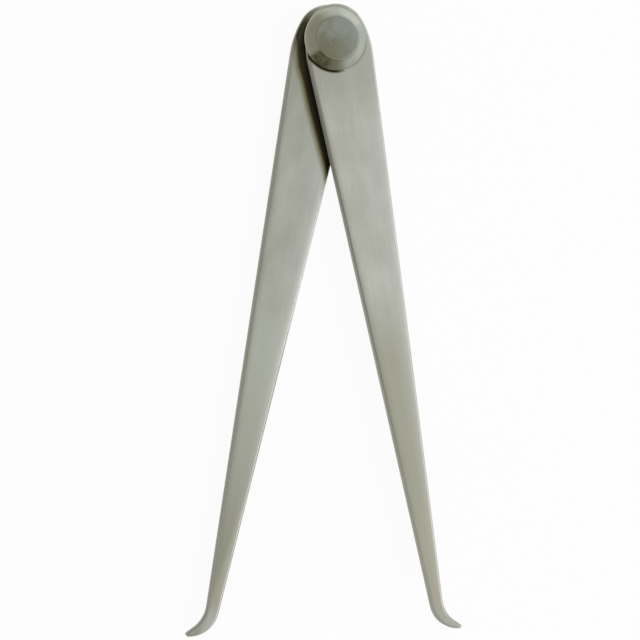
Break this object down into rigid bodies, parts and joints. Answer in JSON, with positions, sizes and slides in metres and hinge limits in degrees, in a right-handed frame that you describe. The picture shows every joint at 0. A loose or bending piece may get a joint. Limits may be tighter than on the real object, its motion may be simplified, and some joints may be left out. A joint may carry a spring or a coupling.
{
  "type": "inside caliper",
  "caption": "Firm-joint inside caliper: flat tapered steel legs on a wide friction joint, each ending in a small foot turned outward to a toe, for gauging bores and gaps.",
  "frame": {"origin": "where the joint's axis meets the back face of the rear disc, on the flush end of the stud", "axes": "+Z along the joint's axis from the back to the front, +Y from the toes towards the joint, +X towards the front leg"},
  "size_m": [0.0698, 0.1547, 0.0099],
  "materials": {
    "ground_steel": "ground",
    "turned_steel": "turned and dulled",
    "vulcanised_fibre": "matt"
  },
  "bodies": {
    "rear_half": {"rear_leg": "ground_steel", "rear_disc": "turned_steel", "joint_stud": "turned_steel", "friction_washer": "vulcanised_fibre"},
    "front_half": {"front_leg": "ground_steel"}
  },
  "joints": [
    {"name": "firm_joint", "type": "hinge", "parent": "rear_half", "child": "front_half", "pos_m": [0, 0, 0.0052], "axis": [0, 0, 1], "range_deg": [-26, 158]}
  ]
}
